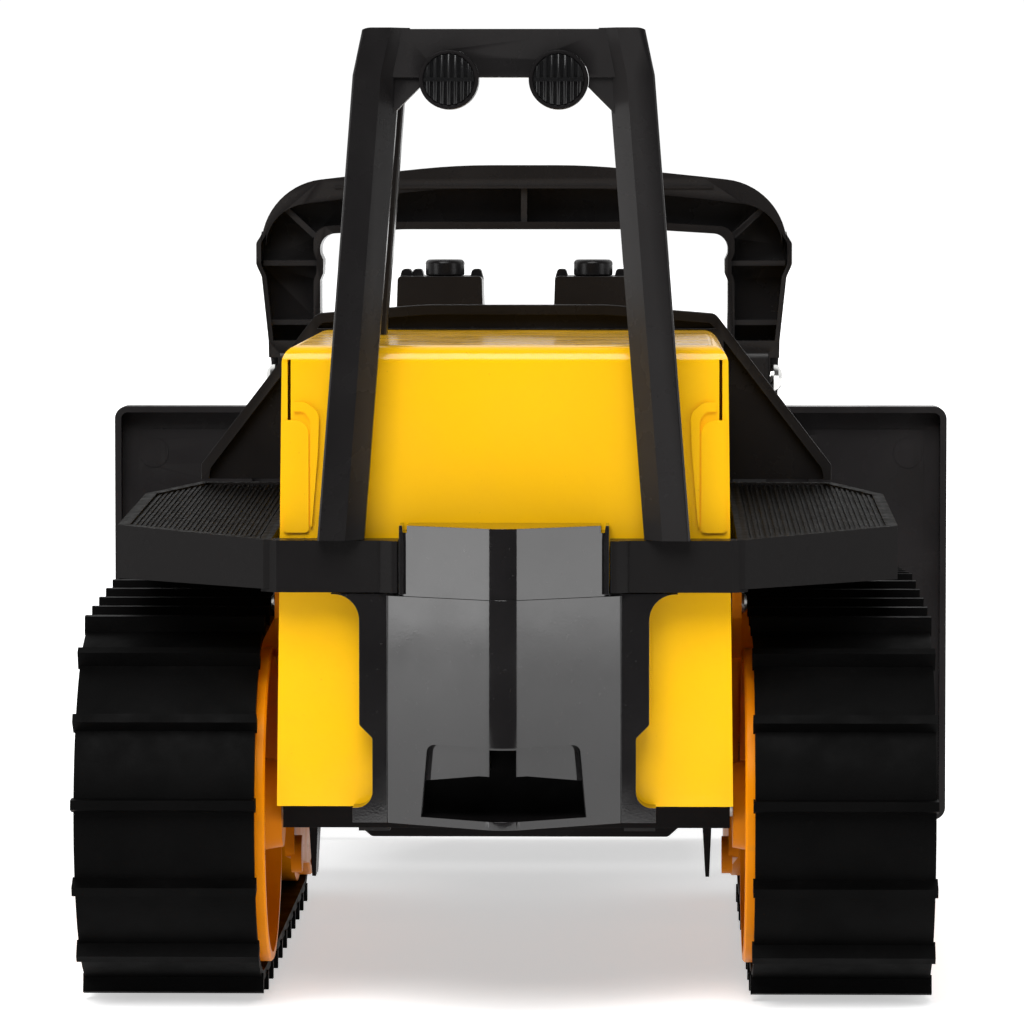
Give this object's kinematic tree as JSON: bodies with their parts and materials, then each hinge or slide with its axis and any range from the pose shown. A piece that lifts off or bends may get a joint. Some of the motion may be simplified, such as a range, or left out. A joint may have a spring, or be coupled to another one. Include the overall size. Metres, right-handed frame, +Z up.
{
  "type": "toy bulldozer",
  "caption": "Large push-along toy bulldozer with belt tracks round dished wheels, a roll-over cage and a front blade lifted by a U-shaped handle.",
  "frame": {"origin": "on the floor, under the middle of the box round the whole toy", "axes": "+Y driving direction, +X the toy's right side, +Z up"},
  "size_m": [0.263, 0.436, 0.2483],
  "materials": {
    "yellow_paint": "glossy enamel on pressed steel",
    "yellow_plastic": "glossy moulded",
    "gloss_black_plastic": "glossy moulded",
    "satin_black_plastic": "satin moulded",
    "track_rubber": "soft matte",
    "lamp_black": "glossy, ribbed",
    "plain_steel": "zinc plated",
    "polished_steel": "polished"
  },
  "bodies": {
    "chassis": {"air_cleaner_cap_left": "satin_black_plastic", "air_cleaner_cap_right": "satin_black_plastic", "air_cleaner_left": "satin_black_plastic", "air_cleaner_right": "satin_black_plastic", "belly_guard": "satin_black_plastic", "cage_front_frame": "satin_black_plastic", "cage_rail_left": "satin_black_plastic", "cage_rail_right": "satin_black_plastic", "cage_rear_frame": "satin_black_plastic", "chassis_pan": "satin_black_plastic", "counterweight": "gloss_black_plastic", "cowl_bulkhead": "satin_black_plastic", "engine_hood": "yellow_paint", "fender_brackets_left": "plain_steel", "fender_brackets_right": "plain_steel", "fender_left": "satin_black_plastic", "fender_right": "satin_black_plastic", "frame_screws_left": "plain_steel", "frame_screws_right": "plain_steel", "front_axle": "plain_steel", "front_axle_caps": "polished_steel", "front_axle_clips": "satin_black_plastic", "front_shell": "satin_black_plastic", "grille": "satin_black_plastic", "lamp_housing_left": "satin_black_plastic", "lamp_housing_right": "satin_black_plastic", "lamp_lens_left": "lamp_black", "lamp_lens_right": "lamp_black", "pan_screws": "plain_steel", "pivot_screw_left": "polished_steel", "pivot_screw_right": "polished_steel", "rear_axle": "plain_steel", "rear_axle_caps": "polished_steel", "rear_axle_clips": "satin_black_plastic", "rear_body_shell": "yellow_paint", "track_frame_left": "yellow_plastic", "track_frame_right": "yellow_plastic", "track_left": "track_rubber", "track_right": "track_rubber"},
    "wheel_rear_left": {"wheel_rear_left": "yellow_plastic"},
    "wheel_rear_right": {"wheel_rear_right": "yellow_plastic"},
    "wheel_front_left": {"wheel_front_left": "yellow_plastic"},
    "wheel_front_right": {"wheel_front_right": "yellow_plastic"},
    "blade_lift": {"lift_handle": "satin_black_plastic", "blade": "satin_black_plastic", "cutting_edge": "satin_black_plastic", "blade_screws": "plain_steel"}
  },
  "joints": [
    {"name": "wheel_rear_left_spin", "type": "hinge", "parent": "chassis", "child": "wheel_rear_left", "pos_m": [-0.083, -0.1507, 0.0493], "axis": [1, 0, 0], "continuous": true},
    {"name": "wheel_front_left_spin", "type": "hinge", "parent": "chassis", "child": "wheel_front_left", "pos_m": [-0.083, 0.0413, 0.0493], "axis": [1, 0, 0], "continuous": true},
    {"name": "wheel_rear_right_spin", "type": "hinge", "parent": "chassis", "child": "wheel_rear_right", "pos_m": [0.083, -0.1507, 0.0493], "axis": [1, 0, 0], "continuous": true},
    {"name": "wheel_front_right_spin", "type": "hinge", "parent": "chassis", "child": "wheel_front_right", "pos_m": [0.083, 0.0413, 0.0493], "axis": [1, 0, 0], "continuous": true},
    {"name": "blade_raise", "type": "hinge", "parent": "chassis", "child": "blade_lift", "pos_m": [0, 0.092, 0.1513], "axis": [1, 0, 0], "range_deg": [0, 25]}
  ],
  "couplings": [
    {"joint": "wheel_front_left_spin", "follows": "wheel_rear_left_spin", "ratio": 1},
    {"joint": "wheel_front_right_spin", "follows": "wheel_rear_right_spin", "ratio": 1}
  ]
}
